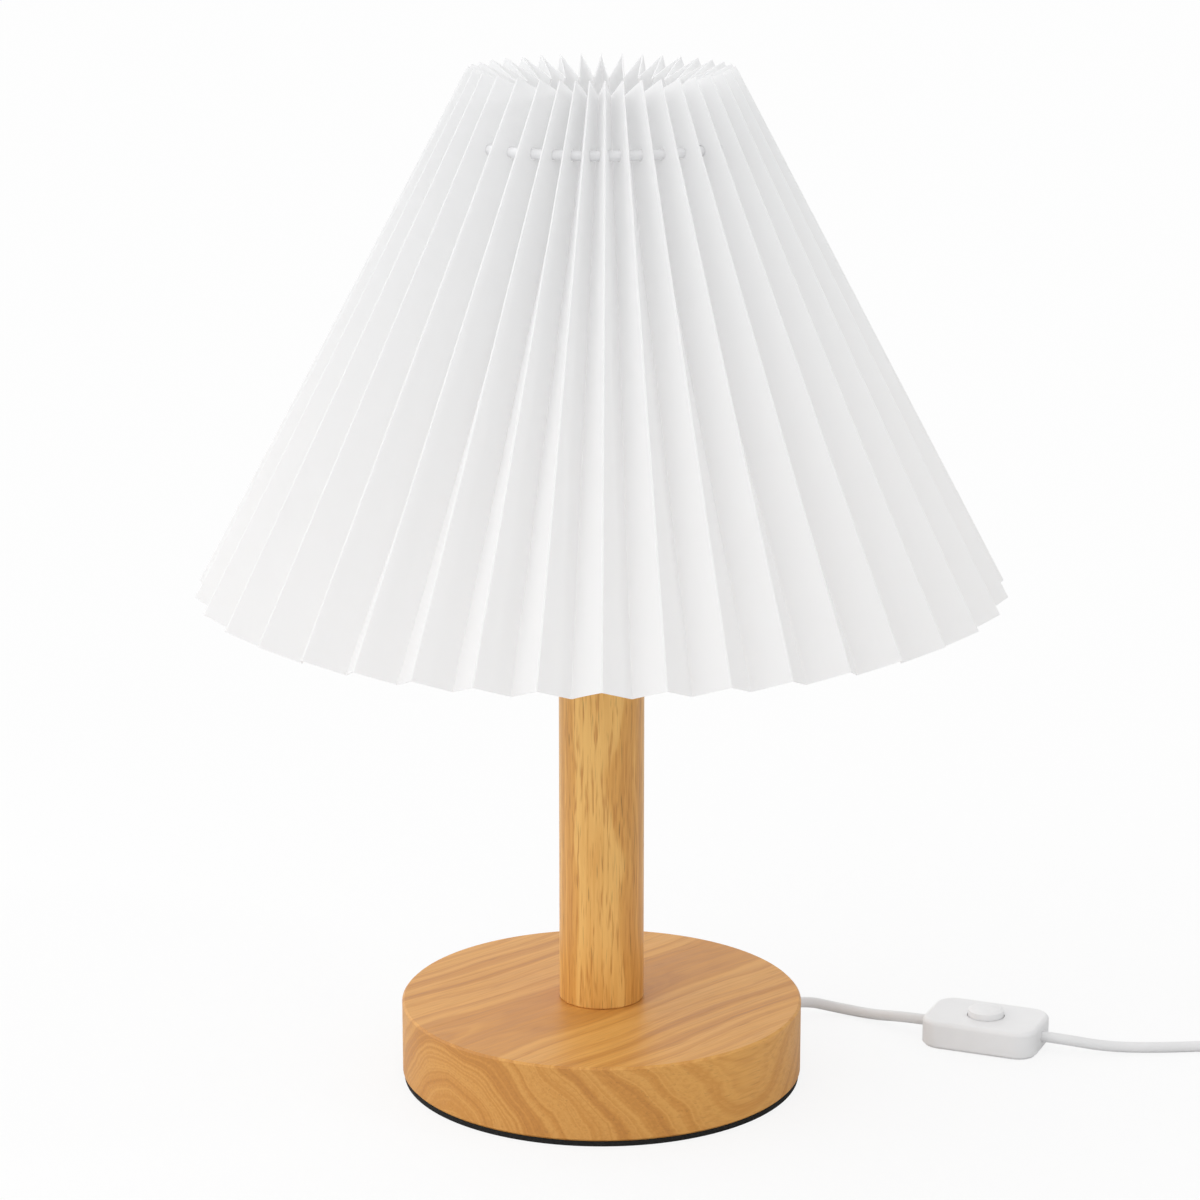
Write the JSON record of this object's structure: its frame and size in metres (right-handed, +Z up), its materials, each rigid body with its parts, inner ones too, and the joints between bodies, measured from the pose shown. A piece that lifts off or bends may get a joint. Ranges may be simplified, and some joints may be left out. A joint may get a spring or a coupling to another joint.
{
  "type": "table lamp",
  "caption": "Table lamp with a pleated white paper shade, a round wooden post and base, and a white cord with an inline push switch.",
  "frame": {"origin": "on the lamp's axis, on the floor under the base pad", "axes": "+Z up along the post, -Y towards the front of the picture, +X towards the switch and the plug"},
  "size_m": [0.522, 0.3004, 0.3837],
  "materials": {
    "pad": "matte foam",
    "wood": "clear satin varnish, lengthwise grain",
    "steel": "zinc plated",
    "brass": "bare",
    "holder_white": "satin moulded",
    "ceramic": "glazed",
    "carrier_white": "white powder coat",
    "paper": "matte white folded paper",
    "ring_white": "smooth white coat",
    "bulb_white": "satin",
    "bulb_opal": "opal",
    "bulb_metal": "bare",
    "black_plastic": "moulded",
    "cord_white": "smooth",
    "switch_white": "moulded satin"
  },
  "bodies": {
    "lamp": {"base_pad": "pad", "base_disc": "wood", "post": "wood", "clamp_rod": "steel", "base_washer": "steel", "base_nut": "steel", "post_cap": "steel", "post_nut": "steel", "holder_cap": "holder_white", "holder_shell": "holder_white", "contact_insert": "ceramic", "contact_sleeve": "brass", "centre_contact": "brass", "clamp_ring": "holder_white", "shade_carrier": "carrier_white", "switch_upper": "switch_white", "switch_lower": "switch_white", "button_spring": "steel", "switch_screws": "steel", "switch_lead_ends": "cord_white", "switch_terminals": "brass", "switch_cord_bars": "steel", "plug_body": "cord_white", "plug_pins": "brass", "plug_pin_sleeves": "black_plastic", "cord_grommet": "cord_white", "inner_lead": "cord_white", "lamp_cord": "cord_white", "cord_coil": "cord_white", "plug_cord": "cord_white", "plug_tail": "cord_white"},
    "shade": {"shade_paper": "paper", "support_ring": "ring_white"},
    "bulb": {"bulb_tip": "black_plastic", "bulb_cap": "bulb_metal", "bulb_neck": "bulb_white", "bulb_globe": "bulb_opal"},
    "button": {"switch_button": "switch_white"}
  },
  "joints": [
    {"name": "shade_lift", "type": "slide", "parent": "lamp", "child": "shade", "axis": [0, 0, 1], "range_m": [0, 0.2]},
    {"name": "bulb_out", "type": "slide", "parent": "lamp", "child": "bulb", "axis": [0, 0, 1], "range_m": [0, 0.03]},
    {"name": "switch_press", "type": "slide", "parent": "lamp", "child": "button", "axis": [0, 0, -1], "range_m": [0, 0.002], "stiffness_N_per_m": 600, "springref_m": -0.001, "deforming": ["button_spring"]}
  ]
}
